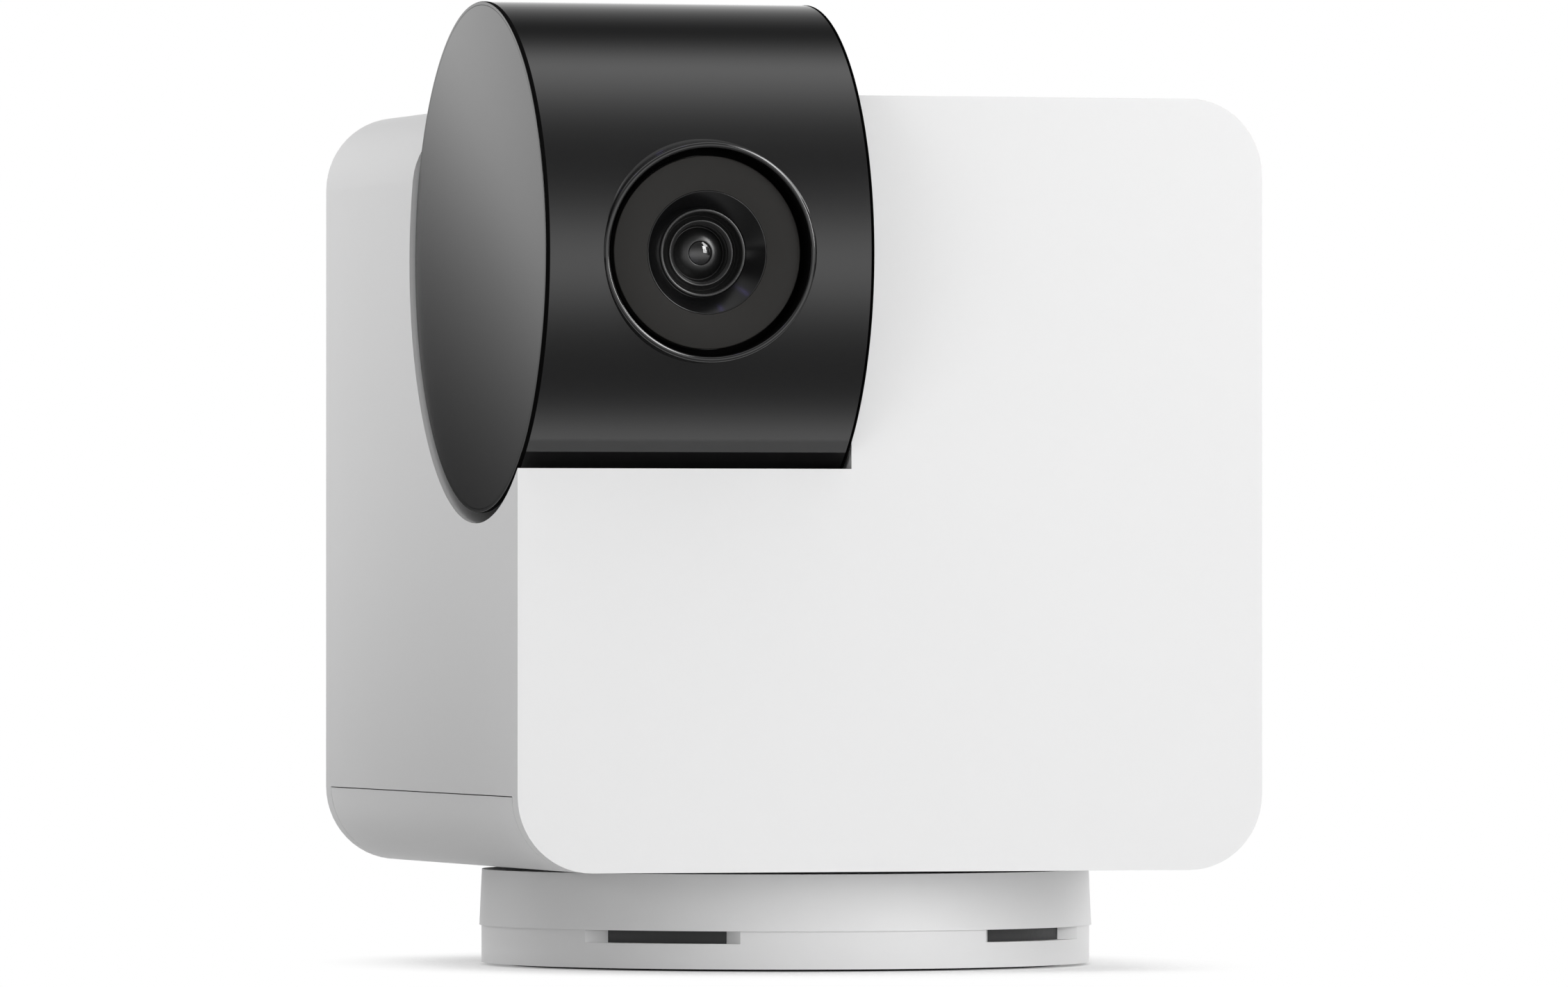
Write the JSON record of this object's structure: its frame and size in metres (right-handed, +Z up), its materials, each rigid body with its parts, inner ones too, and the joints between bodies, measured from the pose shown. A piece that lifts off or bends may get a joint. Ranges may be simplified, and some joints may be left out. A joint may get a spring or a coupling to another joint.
{
  "type": "pan and tilt pet camera",
  "caption": "White rounded cube camera that pans on a low round base, with a glossy black tilting drum and lens let into its upper front corner.",
  "frame": {"origin": "on the pan axis, at the surface that the base stands on", "axes": "+Z up along the pan axis, -Y towards the lens at rest, +X to the viewer's right"},
  "size_m": [0.076, 0.0854, 0.0954],
  "materials": {
    "white_plastic": "fine satin moulded ABS",
    "grey_plastic": "moulded ABS",
    "black_plastic": "matt moulded ABS",
    "black_gloss": "high gloss moulded polycarbonate",
    "dark_window": "smoked infrared-passing polycarbonate",
    "grey_ring": "satin black anodised ring",
    "clear_plastic": "clear moulded acrylic",
    "lens_glass": "coated optical glass",
    "rubber": "soft matt rubber",
    "nylon": "acetal",
    "steel": "zinc plated steel",
    "brass": "machined brass",
    "circuit_board": "glass epoxy board with solder mask"
  },
  "bodies": {
    "base": {"foot_ring": "rubber", "base_tray": "white_plastic", "vent_ring": "black_plastic", "ballast_plate": "steel", "tripod_insert": "brass", "base_cover": "white_plastic", "base_screws": "steel", "post_screws": "steel", "pan_post": "steel", "pan_gear": "nylon", "thrust_washer": "nylon", "pan_clip": "steel"},
    "housing": {"main_shell": "white_plastic", "bottom_cover": "white_plastic", "inner_frame": "grey_plastic", "pan_bush": "nylon", "cover_screws": "steel", "shell_screws": "steel", "pan_motor": "steel", "tilt_motor": "steel", "motor_screws": "steel", "tilt_bush": "nylon", "main_board": "circuit_board", "board_screws": "steel", "shield_can": "steel", "radio_module": "steel", "antenna": "circuit_board", "usb_socket": "steel", "status_light_pipe": "clear_plastic", "reset_switch": "black_plastic", "speaker": "black_plastic", "speaker_gasket": "rubber", "microphone": "steel", "microphone_boot": "rubber", "head_cable": "black_plastic"},
    "head": {"head_shell": "black_gloss", "head_end_cap": "black_gloss", "head_hub_cap": "black_plastic", "tilt_gear": "nylon", "hub_clip": "steel", "lens_bezel": "black_gloss", "night_window": "dark_window", "night_light_board": "circuit_board", "night_lights": "clear_plastic", "lens_barrel": "black_gloss", "lens_ring": "grey_ring", "lens_nose": "black_plastic", "front_lens": "lens_glass", "rear_lens": "lens_glass", "lens_holder": "black_plastic", "infrared_filter": "lens_glass", "image_sensor": "circuit_board", "sensor_board": "circuit_board", "board_carrier": "black_plastic", "sensor_screws": "steel"},
    "pan_drive": {"pan_pinion": "nylon", "pan_motor_shaft": "steel"},
    "tilt_drive": {"tilt_pinion": "nylon", "tilt_motor_shaft": "steel"},
    "reset_button": {"reset_button": "grey_plastic"}
  },
  "joints": [
    {"name": "pan", "type": "hinge", "parent": "base", "child": "housing", "pos_m": [0, 0, 0], "axis": [0, 0, 1], "range_deg": [-170, 170]},
    {"name": "tilt", "type": "hinge", "parent": "housing", "child": "head", "pos_m": [0, -0.0222, 0.0703], "axis": [-1, 0, 0], "range_deg": [-25, 90]},
    {"name": "pan_pinion_spin", "type": "hinge", "parent": "housing", "child": "pan_drive", "pos_m": [0.01103, 0.01103, 0.0146], "axis": [0, 0, 1], "range_deg": [-567, 567]},
    {"name": "tilt_pinion_spin", "type": "hinge", "parent": "housing", "child": "tilt_drive", "pos_m": [0.0053, -0.01202, 0.06012], "axis": [-1, 0, 0], "range_deg": [-271, 76]},
    {"name": "reset_press", "type": "slide", "parent": "housing", "child": "reset_button", "axis": [0, -1, 0], "range_m": [0, 0.0005], "stiffness_N_per_m": 1200}
  ],
  "couplings": [
    {"joint": "pan_pinion_spin", "follows": "pan", "ratio": 3.3333},
    {"joint": "tilt_pinion_spin", "follows": "tilt", "ratio": -3}
  ]
}
